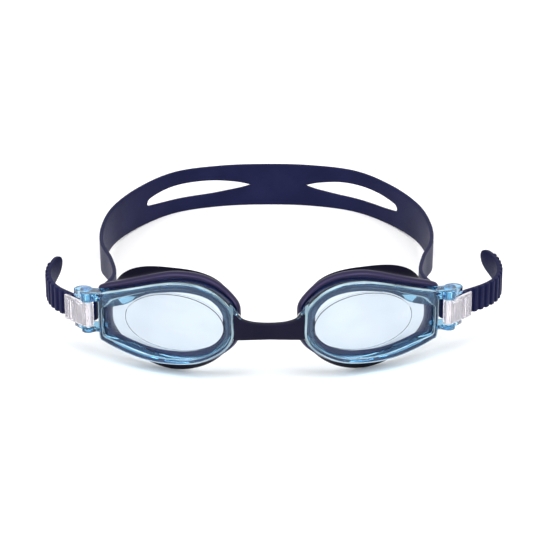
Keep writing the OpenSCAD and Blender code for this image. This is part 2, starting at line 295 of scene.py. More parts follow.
def bake(obj):
    """Applies obj's modifiers."""
    bpy.context.view_layer.update()
    graph = bpy.context.evaluated_depsgraph_get()
    data = bpy.data.meshes.new_from_object(obj.evaluated_get(graph), depsgraph=graph)
    old = obj.data
    obj.modifiers.clear()
    obj.data = data
    bpy.data.meshes.remove(old)
    return obj


def open_at_middle(obj):
    """Takes off the faces that lie in the symmetry plane, where the other half carries on."""
    with editing(obj) as b:
        for v in b.verts:
            if abs(v.co.x) < AT_MIDDLE:
                v.co.x = 0
        seam = [f for f in b.faces if all(v.co.x == 0 for v in f.verts)]
        bmesh.ops.delete(b, geom=seam, context="FACES")
    return obj


def rod(name, at, axis, radius, low, high, segments=48):
    """A cylinder on axis through at, from low to high, all in millimetres but at."""
    side = unit(np.cross(axis, OFF_AXIS))
    other = np.cross(axis, side)
    rings = []
    for h in (low, high):
        rings.append([at + MM * (h * axis + radius * (math.cos(a) * side + math.sin(a) * other))
                      for a in np.linspace(0, 2 * math.pi, segments, endpoint=False)])
    return solid(name, rings)


def place_side(obj, side):
    """Mirrors a left piece for the right side."""
    if SIDES[side] > 0:
        return obj
    with editing(obj) as b:
        for v in b.verts:
            v.co.x = -v.co.x
        bmesh.ops.reverse_faces(b, faces=b.faces)
    return obj


# ---------------------------------------------------------------- materials
NOISE_LOW, NOISE_HIGH = 0.3, 0.7                              # most of a noise lies between these
SILICONE_IOR, PLASTIC_IOR = 1.42, 1.5
GRAIN_DEPTH, FLOW_DEPTH, POLISHED_DEPTH = 0.00006, 0.00002, 0.000004      # of bumps, in metres
EDGE_START, EDGE_END, EDGE_FADE = 0.05, 0.78, 0.1             # depths of the frame's front chamfers, where a highlight is painted
ROLL_END = (8.2, 9.4)                                         # depths where the seal's roll and its painted sheen end, and the flange's painted shade begins
SHADOW_TINT = 0.05                                            # how much tint clear plastic's shadow takes


def node_tree(name):
    material = bpy.data.materials.new(name)
    material.use_nodes = True
    return (material, *tree_of(material))


def tree_of(material):
    nodes, links = material.node_tree.nodes, material.node_tree.links
    return nodes, links, nodes["Principled BSDF"]


def set_values(node, values):
    for socket, value in values.items():
        node.inputs[socket].default_value = value


def object_noise(nodes, links, scale, detail, stretch=(1, 1, 1)):
    """A noise texture in the object's own space."""
    coords = nodes.new("ShaderNodeTexCoord")
    mapping = nodes.new("ShaderNodeMapping")
    noise = nodes.new("ShaderNodeTexNoise")
    set_values(mapping, {"Scale": stretch})
    set_values(noise, {"Scale": scale, "Detail": detail})
    links.new(coords.outputs["Object"], mapping.inputs["Vector"])
    links.new(mapping.outputs["Vector"], noise.inputs["Vector"])
    return noise.outputs["Fac"]


def ramp(nodes, links, factor, low, high, start=NOISE_LOW, end=NOISE_HIGH):
    """A colour running from low to high as factor goes from start to end."""
    r = nodes.new("ShaderNodeValToRGB")
    for stop, position, colour in zip(r.color_ramp.elements, (start, end), (low, high)):
        stop.position = position
        stop.color = (*colour, 1)
    links.new(factor, r.inputs["Fac"])
    return r.outputs["Color"]


def graded(nodes, links, value, start, end, low, high):
    """A value going from low to high as another goes from start to end."""
    m = nodes.new("ShaderNodeMapRange")
    set_values(m, {"From Min": start, "From Max": end, "To Min": low, "To Max": high})
    links.new(value, m.inputs["Value"])
    return m.outputs["Result"]


def spread(nodes, links, noise, low, high):
    """A value running from low to high with a noise."""
    return graded(nodes, links, noise, NOISE_LOW, NOISE_HIGH, low, high)


def product(nodes, links, first, second):
    m = nodes.new("ShaderNodeMath")
    m.operation = "MULTIPLY"
    links.new(first, m.inputs[0])
    links.new(second, m.inputs[1])
    return m.outputs["Value"]


def bump(nodes, links, bsdf, height, distance, strength):
    b = nodes.new("ShaderNodeBump")
    set_values(b, {"Strength": strength, "Distance": distance})
    links.new(height, b.inputs["Height"])
    links.new(b.outputs["Normal"], bsdf.inputs["Normal"])


def cup_depth(nodes, links):
    """How far back in its cup a point lies, in millimetres. The cups mirror each other, all before Y 0."""
    coords = nodes.new("ShaderNodeTexCoord")
    folded = nodes.new("ShaderNodeVectorMath")
    folded.operation = "ABSOLUTE"
    links.new(coords.outputs["Object"], folded.inputs[0])
    toward = nodes.new("ShaderNodeVectorMath")
    toward.operation = "DOT_PRODUCT"
    toward.inputs[1].default_value = FRONT * vec((1, -1, 1))
    links.new(folded.outputs["Vector"], toward.inputs[0])
    depth = nodes.new("ShaderNodeMath")
    depth.operation = "MULTIPLY_ADD"
    depth.inputs[1].default_value = -1 / MM
    depth.inputs[2].default_value = float(CUP_ORIGIN @ FRONT) / MM
    links.new(toward.outputs["Value"], depth.inputs[0])
    return depth.outputs["Value"]


def silicone(name, rough, sheen, tint):
    """Moulded silicone but for its colour: a fine matte grain, and a dusty sheen."""
    material, nodes, links, bsdf = node_tree(name)
    speck = object_noise(nodes, links, 2600, 6)
    links.new(spread(nodes, links, speck, *rough), bsdf.inputs["Roughness"])
    set_values(bsdf, {"Sheen Weight": sheen, "Sheen Roughness": 0.4, "Sheen Tint": (*tint, 1),
                      "Specular Tint": (*tint, 1), "IOR": SILICONE_IOR})
    bump(nodes, links, bsdf, speck, GRAIN_DEPTH, 0.35)
    return material


def cloudy(material, dark, light, shine):
    """Gives silicone a cloudy colour, and one shine all over."""
    nodes, links, bsdf = tree_of(material)
    cloud = object_noise(nodes, links, 60, 3)
    links.new(ramp(nodes, links, cloud, dark, light), bsdf.inputs["Base Color"])
    set_values(bsdf, {"Specular IOR Level": shine})


def paint_roll_sheen_and_flange_shade(material, dark, light, dark_shine, light_shine):
    """Paints the seal's roll lighter, a painted sheen, and its flange darker, a painted shade, and gives each
    its own shine.
    """
    nodes, links, bsdf = tree_of(material)
    roll = graded(nodes, links, cup_depth(nodes, links), *ROLL_END, 1, 0)
    links.new(ramp(nodes, links, roll, dark, light, 0, 1), bsdf.inputs["Base Color"])
    shine = graded(nodes, links, roll, 0, 1, dark_shine, light_shine)
    links.new(shine, bsdf.inputs["Specular IOR Level"])


def flow(nodes, links):
    """The slow, drawn-out unevenness that moulding leaves in clear plastic."""
    return object_noise(nodes, links, 90, 2, (1, 1, 2))


def clear(name, rough, shine, ripple=FLOW_DEPTH):
    """Moulded clear plastic but for its tint: polish that varies, and faint flow ripples."""
    material, nodes, links, bsdf = node_tree(name)
    fine = object_noise(nodes, links, 900, 3)
    links.new(spread(nodes, links, fine, *rough), bsdf.inputs["Roughness"])
    set_values(bsdf, {"IOR": PLASTIC_IOR, "Specular Tint": (*shine, 1)})
    bump(nodes, links, bsdf, flow(nodes, links), ripple, 0.3)
    return material


def tinted(material, low, high, transmission):
    """Gives clear plastic a tint that varies a little, and a shadow of that tint."""
    nodes, links, bsdf = tree_of(material)
    links.new(ramp(nodes, links, flow(nodes, links), low, high), bsdf.inputs["Base Color"])
    set_values(bsdf, {"Transmission Weight": transmission})
    light_shadow(material, high)


def paint_chamfer_highlights(material, low, high, transmission):
    """Paints a highlight on the chamfers of clear plastic's front, here more and there less: a paler tint and
    less transmission there.
    """
    nodes, links, bsdf = tree_of(material)
    depth = cup_depth(nodes, links)
    rising = graded(nodes, links, depth, EDGE_START, EDGE_START + EDGE_FADE, 0, 1)
    falling = graded(nodes, links, depth, EDGE_END - EDGE_FADE, EDGE_END, 1, 0)
    patches = spread(nodes, links, object_noise(nodes, links, 70, 2), 0.35, 1)
    edge = product(nodes, links, product(nodes, links, rising, falling), patches)
    links.new(ramp(nodes, links, edge, low, high, 0, 1), bsdf.inputs["Base Color"])
    links.new(graded(nodes, links, edge, 0, 1, 1, transmission), bsdf.inputs["Transmission Weight"])


def light_shadow(material, tint):
    """Lets light pass straight through, tinted, so that clear plastic casts a pale shadow."""
    nodes, links, bsdf = tree_of(material)
    path = nodes.new("ShaderNodeLightPath")
    through = nodes.new("ShaderNodeBsdfTransparent")
    set_values(through, {"Color": (*(c ** SHADOW_TINT for c in tint), 1)})
    mix = nodes.new("ShaderNodeMixShader")
    links.new(path.outputs["Is Shadow Ray"], mix.inputs["Fac"])
    links.new(bsdf.outputs["BSDF"], mix.inputs[1])
    links.new(through.outputs["BSDF"], mix.inputs[2])
    links.new(mix.outputs["Shader"], nodes["Material Output"].inputs["Surface"])


def deepen(material, colour, density):
    """Gives clear plastic a tint that grows with the depth looked through."""
    nodes, links = tree_of(material)[:2]
    depth = nodes.new("ShaderNodeVolumeAbsorption")
    set_values(depth, {"Color": (*colour, 1), "Density": density})
    links.new(depth.outputs["Volume"], nodes["Material Output"].inputs["Volume"])


def brushed_metal(name):
    material, nodes, links, bsdf = node_tree(name)
    grain = object_noise(nodes, links, 1800, 3, (1, 1, 0.05))
    links.new(ramp(nodes, links, grain, (0.5, 0.51, 0.53), (0.72, 0.73, 0.75)), bsdf.inputs["Base Color"])
    links.new(spread(nodes, links, grain, 0.22, 0.4), bsdf.inputs["Roughness"])
    set_values(bsdf, {"Metallic": 1.0})
    bump(nodes, links, bsdf, grain, FLOW_DEPTH, 0.2)
    return material


FRAME_BLUE = clear("frame_blue", (0.01, 0.04), (0.85, 0.92, 1.0))
# a painted highlight on the frame's front chamfers: paler tint, less transmission
paint_chamfer_highlights(FRAME_BLUE, (0.46, 0.79, 0.97), (0.68, 0.91, 1.0), 0.45)
light_shadow(FRAME_BLUE, (0.50, 0.83, 0.99))
deepen(FRAME_BLUE, (0.14, 0.60, 0.86), 115)
LENS_CLEAR = clear("lens_clear", (0.0, 0.015), (0.4, 0.5, 0.7), POLISHED_DEPTH)
tinted(LENS_CLEAR, (0.60, 0.68, 0.76), (0.64, 0.72, 0.80), 1.0)
CLIP_CLEAR = clear("clip_clear", (0.03, 0.09), (1, 1, 1))
tinted(CLIP_CLEAR, (0.97, 0.93, 0.96), (1.0, 0.96, 0.99), 0.85)
SEAL_NAVY = silicone("seal_navy", (0.27, 0.38), 0.03, (0.62, 0.52, 0.95))
# the seal: a painted sheen on the roll, a painted shade on the flange
paint_roll_sheen_and_flange_shade(SEAL_NAVY, (0.002, 0.002, 0.007), (0.015, 0.013, 0.036), 0.1, 0.45)
STRAP_NAVY = silicone("strap_navy", (0.45, 0.62), 0.03, (0.5, 0.48, 0.85))
cloudy(STRAP_NAVY, (0.006, 0.0075, 0.033), (0.010, 0.0115, 0.046), 0.18)
BRIDGE_BLACK = silicone("bridge_black", (0.4, 0.55), 0.03, (0.55, 0.52, 0.8))
cloudy(BRIDGE_BLACK, (0.005, 0.005, 0.014), (0.009, 0.008, 0.02), 0.16)
PIN_STEEL = brushed_metal("pin_steel")


def finish_piece(obj, name, material, replaced):
    obj.name = name
    obj.data.name = name
    obj.data.materials.clear()
    obj.data.materials.append(material)
    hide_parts(*replaced)
    return obj


# ---------------------------------------------------------------- eyecup frames
EAR_GAP, EAR_TOP, EAR_BOTTOM = 5.2, 8.4, 7.0
PIN_R, ROLLER_R, AXLE_R = 0.9, 2.2, 1.1
PIN_WALL, LOBE, LOBE_R = 2.8, vec((1.4, -1.8)), 3.5           # the ear round the pin and past the roller
# Section of the frame's ring: growth past the rim, share of the way in to the window, depth
RIM_SECTION = [
    (-0.95, 0, 0), (-0.8, 0, 0.05), (-0.07, 0, 0.72), (0, 0, 0.95), (0, 0, 2.2), (0, 0, 4.4), (0, 0, 6.6),
    (-0.1, 0, 6.88), (-0.32, 0, 7), (-1.15, 0, 7), (-1.38, 0, 6.88), (-1.5, 0, 6.6), (-1.5, 0, 4.6),
    (-1.5, 0, 1.95), (-1.6, 0, 1.85), (-1.6, 0.5, 1.85), (-1.6, 0.95, 1.85), (-1.6, 1, 1.75), (-1.6, 1, 1.25),
    (-1.6, 0.97, 1.05), (-1.6, 0.9, 0.92), (-1.6, 0.52, 0.8), (-1.6, 0.46, 0.74), (-1.6, 0.43, 0.6),
    (-1.6, 0.4, 0.32), (-1.6, 0.34, 0.04), (-1.6, 0.3, 0), (-1.35, 0.05, 0)]
# A web on the nose side that reaches over the bridge's end, in the leaning front's X and Z
WING_SHAPE = [
    (14.6, 5.1), (12.3, 5.1), (11.3, 3.95), (10.4, 3.4), (10.2, 3.7), (11.8, 5.8), (13.4, 8.4), (14.6, 9.4)]
WING_Y = (0.7, 3.7)
CORE_GROWTH, CORE_D = -1, (-3, 10)                            # the room inside that ears and webs stay out of
PIN_CLEAR, AXLE_CLEAR = 0.02, 0.05


def in_front(point):
    """A place as (x, y) in the leaning front's plan."""
    return vec((point[0] / MM, (point - NOSE) @ LEVEL / MM))


PIN_FRONT, ROLLER_FRONT = in_front(PIN), in_front(ROLLER)
TEMPLE = PIN_FRONT - (3.4, 0.6)                               # where the ears grow out of the rim


def ear_outline(growth=0.0):
    """One yoke ear in the leaning front's plan: round the pin, out over the roller and back."""
    turn = math.degrees(math.atan2(CLIP_DIR @ LEVEL, CLIP_DIR[0]))
    points = [TEMPLE + (-5.5, -1.6), TEMPLE + (0.6, -0.6)]
    arcs = ((PIN_FRONT, PIN_WALL, -150, -30), (ROLLER_FRONT + LOBE, LOBE_R, -60, 120))
    for centre, radius, start, end in arcs:
        for t in range(start, end + 1, 10):
            a = math.radians(t + turn)
            points.append(centre + (radius + growth) * vec((math.cos(a), math.sin(a))))
    return points + [TEMPLE + (-3.4, 6.2), TEMPLE + (-6.2, 3.6)]


def ear(low, high):
    piece = soften(prism("ear", ear_outline(), low, high, front), 0.5)
    for at, radius in ((PIN, PIN_R + PIN_CLEAR), (ROLLER, AXLE_R + AXLE_CLEAR)):
        combine(piece, [rod("hole", at, UP, radius, 1 - EAR_BOTTOM, EAR_TOP - 1)], "DIFFERENCE")
    return piece


def frame_piece(side):
    rings = [[cup(u, v, d) for u, v in rim(g) * (1 - share) + WINDOW * share] for g, share, d in RIM_SECTION]
    body = solid("rim", rings, closed=True)
    parts = [ear(EAR_GAP, EAR_TOP), ear(-EAR_BOTTOM, -EAR_GAP)]
    parts.append(soften(prism("wing", WING_SHAPE, *WING_Y, lambda x, z, y: front(x, y, z)), 0.25))
    for part in parts:
        core = solid("core", [[cup(u, v, d) for u, v in rim(CORE_GROWTH)] for d in CORE_D])
        combine(part, [core], "DIFFERENCE")
    combine(body, parts, "UNION")
    smooth(outward(body), 32)
    place_side(body, side)
    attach(body, side + "_cup")
    return finish_piece(body, side + "_frame_shell", FRAME_BLUE, [side + "_frame"])


# ---------------------------------------------------------------- lenses
OPTIC_R, OPTIC_STEP = vec((20, 11.2)), 0.4
LENS_FRONT, LENS_T = 1.9, 1.8
LENS_EDGE = -1.55                                             # the plate's growth past the rim
# From each face to the edge: growth, and how far in from the face
PLATE_EDGE = [(LENS_EDGE - 0.3, 0), (LENS_EDGE, 0.25)]
OPTIC_EDGE = [(-0.4, -OPTIC_STEP), (-0.12, -0.33), (0, -0.12)]


def optic(growth, samples=128):
    return [vec(OPTIC_UVD[:2]) + (OPTIC_R + growth) * vec((math.cos(a), math.sin(a)))
            for a in np.linspace(0, 2 * math.pi, samples, endpoint=False)]


def plate(name, outline, edge):
    """A plate with the same edge on its two faces; outline gives its shape grown by so much."""
    rows = [(growth, LENS_FRONT + inset) for growth, inset in edge]
    rows += [(growth, LENS_FRONT + LENS_T - inset) for growth, inset in reversed(edge)]
    return solid(name, [[cup(u, v, d) for u, v in outline(growth)] for growth, d in rows])


def lens_piece(side):
    body = plate("plate", rim, PLATE_EDGE)
    combine(body, [plate("oval", optic, OPTIC_EDGE)], "UNION")
    smooth(outward(body), 30)
    place_side(body, side)
    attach(body, side + "_cup")
    return finish_piece(body, side + "_lens_shell", LENS_CLEAR, [side + "_lens"])


# ---------------------------------------------------------------- seals
# Rows round the section: growth past the rim, share of the flange's oval, growth past the oval, depth.
# They go over the sleeve and the roll, to the flange and its lip, and back to the plug in the frame.
SEAL_SECTION = [
    (0.08, 0, 0, 4.95), (0.5, 0, 0, 4.8), (0.95, 0, 0, 4.95), (1.4, 0, 0, 5.35), (1.72, 0, 0, 6),
    (1.8, 0, 0, 6.8), (1.72, 0.02, 0, 7.5), (1.5, 0.1, 0, 8.2), (1.2, 0.22, -0.6, 8.9),
    (1, 0.38, -0.9, 9.6), (0.9, 0.56, -0.9, 10.2), (0.7, 0.75, -0.6, 10.9), (0.3, 0.9, -0.2, 11.6),
    (0, 1, 0, 12.15), (0, 1, -0.12, 12.42), (0, 1, -0.5, 12.5), (0, 1, -1.4, 12.35), (0, 1, -2.8, 11.9),
    (0, 1, -4.1, 11.2), (-1.6, 0.85, -4.7, 10.5), (-2.8, 0.6, -4.7, 9.7), (-3.3, 0.3, -4.6, 8.8),
    (-3.45, 0.1, -4.6, 7.9), (-3.4, 0, 0, 6.4), (-3.3, 0, 0, 4.4), (-3.05, 0, 0, 4.05), (-2.5, 0, 0, 3.95),
    (-1.9, 0, 0, 4), (-1.65, 0, 0, 4.25), (-1.58, 0, 0, 5), (-1.58, 0, 0, 6.9), (-1.4, 0, 0, 7.1),
    (-0.1, 0, 0, 7.07), (0.06, 0, 0, 6.9), (0.06, 0, 0, 6)]
BROW, NOSE_SIDE = 0.45, 0.6                                   # how much further in the lip stands there
BULGE, NOSE_SLIM = 0.6, 0.55                                  # the roll: full at the brow, slim at the nose
INNER_START, INNER_FADE = 2.0, 1.2                            # inside the rim, where the lip's terms set in
OUTER_START, OUTER_FADE = 0.1, 0.8                            # outside it, where the roll's do
PLUG_GROWTH, PLUG_BACK = -1.2, 6.9                            # the growth and depth that bound the plug
CHIN_RISE = 1.4                                               # how soon the plug ends toward the chin
EAR_CLEAR = 0.3


def seal_growth(growth):
    """The seal's growth past the rim: more along the brow outside, and along the brow and the nose inside."""
    top, nose = np.clip(np.sin(RIM_ANGLE), 0, 1), np.clip(-np.cos(RIM_ANGLE), 0, 1)
    inner = min(1.0, max(0.0, (-growth - INNER_START) / INNER_FADE))
    outer = min(1.0, max(0.0, (growth - OUTER_START) / OUTER_FADE))
    lip = inner * np.maximum(BROW * top, NOSE_SIDE * nose)
    roll = outer * (BULGE * np.sqrt(top) * (1 - nose) - NOSE_SLIM * nose)
    return growth * (1 + lip + roll)[:, None]


def seal_depth(growth, depth):
    """The seal's depth round a row: the plug inside the frame stands forward at the brow, not at the chin."""
    if growth > PLUG_GROWTH or depth > PLUG_BACK:
        return np.full(len(RIM), depth)
    chin = np.clip(-CHIN_RISE * np.sin(RIM_ANGLE), 0, 1)
    return depth + (PLUG_BACK - depth) * chin


def seal_piece(side):
    rings = [[cup(u, v, d) for (u, v), d in zip(rim(seal_growth(g), mix, fg), seal_depth(g, depth))]
             for g, mix, fg, depth in SEAL_SECTION]
    body = solid("seal", rings, closed=True)
    cuts = [prism("cut", ear_outline(EAR_CLEAR), EAR_GAP - EAR_CLEAR, EAR_TOP + EAR_CLEAR, front),
            prism("cut", ear_outline(EAR_CLEAR), -EAR_BOTTOM - EAR_CLEAR, EAR_CLEAR - EAR_GAP, front)]
    combine(body, cuts, "DIFFERENCE")
    smooth(outward(body), 50)
    place_side(body, side)
    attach(body, side + "_cup")
    return finish_piece(body, side + "_seal_skin", SEAL_NAVY, [side + "_seal"])


# ---------------------------------------------------------------- clips
CLIP_H, CLIP_LEN, COVER_T, BARREL_R = 4.9, 12.0, 1.5, 2.0
COVER_IN = 1.8
COVER_OUT = COVER_IN + COVER_T
COVER_SHAPE = [
    (PIN_X, COVER_IN), (CLIP_LEN - 0.4, COVER_IN), (CLIP_LEN, COVER_IN + 0.35),
    (CLIP_LEN - 0.1, COVER_OUT - 0.5), (CLIP_LEN - 0.8, COVER_OUT), (3, COVER_OUT),
    (0.6, COVER_OUT - 0.05), (PIN_X, COVER_OUT - 0.5)]
# The smooth thumb pad over the hinge
PAD_SHAPE = [
    (-2.4, 2.0), (4.1, 2.4), (4.1, COVER_OUT + 0.25), (3.2, COVER_OUT + 0.6), (-1.4, COVER_OUT + 0.45),
    (-2.4, COVER_OUT - 0.3)]
BARS, BAR_START, BAR_PITCH, BAR_W, BAR_RISE = 4, 5.2, 1.55, 0.7, 0.55
BAR_ROOT, BAR_TAPER = 0.2, 0.15
COVER_INSET, PAD_INSET, BAR_INSET = 0.1, 0.75, 1.3            # how far each stops from the barrel's ends


def clip_slab(name, outline, inset, radius, segments=3):
    """An outline in the clip's plan, carried through its height but for inset at either end."""
    return soften(prism(name, outline, inset - CLIP_H, CLIP_H - inset, clip), radius, segments)


def grip_bar(x):
    low, high = COVER_OUT - BAR_ROOT, COVER_OUT + BAR_RISE
    outline = [(x, low), (x + BAR_W, low), (x + BAR_W - BAR_TAPER, high), (x + BAR_TAPER, high)]
    return clip_slab("bar", outline, BAR_INSET, 0.12, 2)


def clip_piece(side):
    cover = clip_slab("cover", COVER_SHAPE, COVER_INSET, 0.45)
    barrel = soften(rod("barrel", PIN, UP, BARREL_R, -CLIP_H, CLIP_H, 64), 0.3)
    pad = clip_slab("pad", PAD_SHAPE, PAD_INSET, 0.55)
    combine(cover, [barrel, pad] + [grip_bar(BAR_START + BAR_PITCH * i) for i in range(BARS)], "UNION")
    combine(cover, [rod("hole", PIN, UP, PIN_R + 0.05, -CLIP_H - 1, CLIP_H + 1)], "DIFFERENCE")
    smooth(outward(cover), 32)
    place_side(cover, side)
    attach(cover, side + "_clip")
    return finish_piece(cover, side + "_clip_cover", CLIP_CLEAR, [side + "_clip"])


# ---------------------------------------------------------------- strap tails
RIB_H, RIB_PITCH, RIB_FIRST = 0.7, 3.0, 1.2
# One rib along the strap: distance from its start, share of its height
RIB_SHAPE = [
    (0, 0), (0.12, 0.35), (0.28, 0.88), (0.45, 1), (1, 1.03), (1.55, 1), (1.72, 0.88), (1.88, 0.35), (2, 0)]
ROLLER_X, MOUTH_X = 5.0, CLIP_LEN + 0.5                       # along the clip
MOUTH = in_front(clip(MOUTH_X, 0, 0))
# The free end's curl from the clip's mouth, in the leaning front's plan
TAIL_SHAPE = {
    "left": [(0, 0), (6.8, 4.4), (11.4, 9.2), (13.8, 15.5), (14.2, 23), (12.8, 30.5), (10, 38)],
    "right": [(0, 0), (4.4, 4.2), (7.4, 9.2), (9, 15.5), (9, 22), (8, 28.5), (6.2, 34.5)]}
TAIL_LEN = {"left": 47.0, "right": 40.0}
SMOOTH_END, TAPER = 9.0, 14.0                                 # lengths at the tip: ribless, and rounded off
TIP_WIDTH, TIP_THINNING = 0.04, 0.45                          # shares: width left, and thickness lost
TAIL_CORNER, HEADING_SPAN = 0.32, 0.8
LEAN_RISE = -LEVEL[2] / LEVEL[1]                              # keeps the curl level while the front leans


def rounded_section(width, inner, outer, radius):
    """A rounded rectangle as (across, up) pairs: from -inner to outer, and width high."""
    points = []
    for cx, cz, start in ((outer, width / 2, 0), (-inner, width / 2, 90), (-inner, -width / 2, 180),
                          (outer, -width / 2, 270)):
        for k in range(5):
            a = math.radians(start + 22.5 * k)
            points.append((cx - math.copysign(radius, cx) + radius * math.cos(a),
                           cz - math.copysign(radius, cz) + radius * math.sin(a)))
    return points


def tail_line(side):
    """The tail's middle line in the leaning front's plan: straight in the clip, then curling free."""
    curl = catmull(TAIL_SHAPE[side], 12) * TAIL_LEN[side] / lengths(catmull(TAIL_SHAPE[side], 4))[-1]
    inside = [in_front(clip(x, 0, 0)) for x in np.arange(ROLLER_X + 0.02, MOUTH_X - 1, 0.5)]
    return np.array(inside + [MOUTH + p for p in curl])


def tail_stations(total):
    """Distances along the tail, each with its share of the ribs' height."""
    stations = [(0.0, 0.0), (0.6, 0.0)]
    for k in range(int((total - SMOOTH_END) / RIB_PITCH)):
        stations += [(RIB_FIRST + k * RIB_PITCH + offset, rise) for offset, rise in RIB_SHAPE]
    last = stations[-1][0]
    for t in np.sin(np.linspace(0, math.pi / 2, 22))[1:]:
        stations.append((last + (total - last) * t, 0.0))
    return stations


def tail_ring(line, table, s, rib):
    """The tail's section at distance s along its line, narrower and thinner toward the tip."""
    total = table[-1]
    p = along(line, table, s)
    before = along(line, table, max(s - HEADING_SPAN, 0))
    after = along(line, table, min(s + HEADING_SPAN, total))
    heading = unit(after - before)
    normal = vec((heading[1], -heading[0]))
    t = max(0.0, 1 - (total - s) / TAPER)
    width = STRAP_W * max(TIP_WIDTH, math.sqrt(max(0.0, 1 - t ** 3)))
    inner = STRAP_T / 2 * (1 - TIP_THINNING * t ** 6)
    lift = max(0.0, p[1] - MOUTH[1]) * LEAN_RISE
    section = rounded_section(width, inner, inner + RIB_H * rib, min(TAIL_CORNER, width * 0.4))
    return [front(p[0] + normal[0] * c, p[1] + normal[1] * c, lift + z) for c, z in section]


def tail_piece(side):
    line = tail_line(side)
    table = lengths(line)
    rings = [tail_ring(line, table, s, rib) for s, rib in tail_stations(table[-1])]
    body = smooth(solid("tail", rings), 60)
    place_side(body, side)
    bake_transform(body)
    return finish_piece(body, side + "_tail_skin", STRAP_NAVY, [side + "_strap_tail"])


# ---------------------------------------------------------------- head strap
# Past the left roller: X, share of the way back, width, height of the lower edge
STRAP_ROUTE = [
    (64.8, 0.06, 9.6, 17), (61, 0.17, 10, 14.4), (63.6, 0.3, 11.2, 11), (68.6, 0.43, 13.4, 7),
    (69.5, 0.57, 15.4, 3.6), (66, 0.71, 17.2, 1.4), (56, 0.84, 18.8, 0.3), (41, 0.94, 20, 0),
    (21, 0.988, 20, 0), (0, 1, 20, 0)]
# Half of a slit: distance from the band's own middle, half of its height
SLIT_SHAPE = [
    (12.4, 0), (15, 0.9), (19, 1.9), (28, 3.3), (38, 3.6), (46, 3.2), (51.5, 2), (52.8, 1), (53.1, 0)]
BAND_SHIFT = 6.0
SLIT_STRETCH = {"left": 1.0, "right": 1.16}                   # the right slit lies further round the band
WRAP_R = ROLLER_R + 0.1 + STRAP_T / 2
WRAP_START, WRAP_END = 94, 214                                # degrees round the roller, back from the clip
ROUTE_STEPS, STATION_STEP, END_CLEAR, END_STEP = 14, 1.3, 0.5, 0.35
STAND_UP = 1.6                                                # how soon the strap loses the front's lean
EDGE_ROUND = 0.38
SHEET_STEPS = 5                                               # faces from the slit to either edge


def strap_rows():
    """X, Y, height of the middle, width and tilt along the left half, in millimetres and radians."""
    lean = math.atan2(UP[1], UP[2])
    turn = math.atan2(CLIP_DIR @ LEVEL, CLIP_DIR[0])
    rows = []
    for a in np.linspace(turn - math.radians(WRAP_START), turn - math.radians(WRAP_END), 25):
        p = ROLLER_FRONT + WRAP_R * vec((math.cos(a), math.sin(a)))
        rows.append((*(front(p[0], p[1], 0) / MM), STRAP_W, lean))
    back = CAD_BOX[1][1] / MM - STRAP_T / 2
    roller_y = ROLLER[1] / MM
    past_middle = (-STRAP_ROUTE[-2][0], *STRAP_ROUTE[-2][1:])
    route = catmull([*STRAP_ROUTE, past_middle], ROUTE_STEPS)[:ROUTE_STEPS * (len(STRAP_ROUTE) - 1) + 1]
    for x, share, width, low in route:
        y = roller_y + share * (back - roller_y)
        width = max(width, STRAP_W)
        tilt = lean * max(0, 1 - STAND_UP * share)
        rows.append((x, y, max(low, 0) + width / 2, width, tilt))
    return np.array(rows)


def strap_stations(side):
    """Rows from the roller to the middle, each with half of the slit's height there."""
    rows = strap_rows()
    table = lengths(rows[:, :3])
    first = SLIT_SHAPE[0][0]
    slit = catmull([(first + (u - first) * SLIT_STRETCH[side], v) for u, v in SLIT_SHAPE], 6)
    shift = BAND_SHIFT * SIDES[side]
    behind = rows[:, 1] > 0
    ends = [np.interp(-(u + shift), -rows[behind, 0], table[behind]) for u in (slit[0][0], slit[-1][0])]
    # even stations, with one on each end of the slit and more about its outer end
    stops = [s for s in np.arange(0, table[-1], STATION_STEP) if all(abs(s - e) > END_CLEAR for e in ends)]
    stops += ends + [ends[1] - END_STEP * k for k in range(-2, 5) if k] + [table[-1]]
    stations = []
    for s in sorted(stops):
        row = along(rows, table, s)
        inside = row[1] > 0 and ends[1] + 1e-6 < s < ends[0] - 1e-6
        stations.append((row, float(np.interp(row[0] - shift, slit[:, 0], slit[:, 1])) if inside else 0.0))
    return stations


def strap_sheet(side):
    """One half of the band as a sheet: two strips above one another, which part at the slit."""
    points, rows_of = [], []
    for (x, y, z, width, tilt), hole in strap_stations(side):
        up = vec((0, math.sin(tilt), math.cos(tilt)))
        strip = width / 2 - hole
        lower = [-width / 2 + strip * k / SHEET_STEPS for k in range(SHEET_STEPS + 1)]
        upper = [hole + strip * k / SHEET_STEPS for k in range(SHEET_STEPS + 1)]
        heights = lower + (upper if hole else upper[1:])
        ids = range(len(points), len(points) + len(heights))
        points += [MM * (vec((x, y, z)) + v * up) for v in heights]
        rows_of.append((ids[:SHEET_STEPS + 1], ids[-SHEET_STEPS - 1:]))
    faces = []
    for a, b in zip(rows_of[:-1], rows_of[1:]):
        for half in (0, 1):
            for k in range(SHEET_STEPS):
                faces.append((a[half][k], b[half][k], b[half][k + 1], a[half][k + 1]))
    return outward(mesh_from("strap", points, faces))


def thicken(obj):
    """Gives the sheet the strap's thickness, and bakes it."""
    m = obj.modifiers.new("thick", "SOLIDIFY")
    m.thickness = STRAP_T * MM
    m.offset = 0
    m.use_even_offset = True
    bake(obj)


def round_edges(obj):
    m = obj.modifiers.new("edge", "BEVEL")
    m.width = EDGE_ROUND * MM
    m.segments = 3
    m.limit_method = "ANGLE"
    m.angle_limit = math.radians(50)
    bake(obj)


def strap_half(side):
    body = strap_sheet(side)
    thicken(body)
    open_at_middle(body)
    round_edges(body)
    smooth(body, 60)
    place_side(body, side)
    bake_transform(body)
    body.name = side + "_band"
    return body


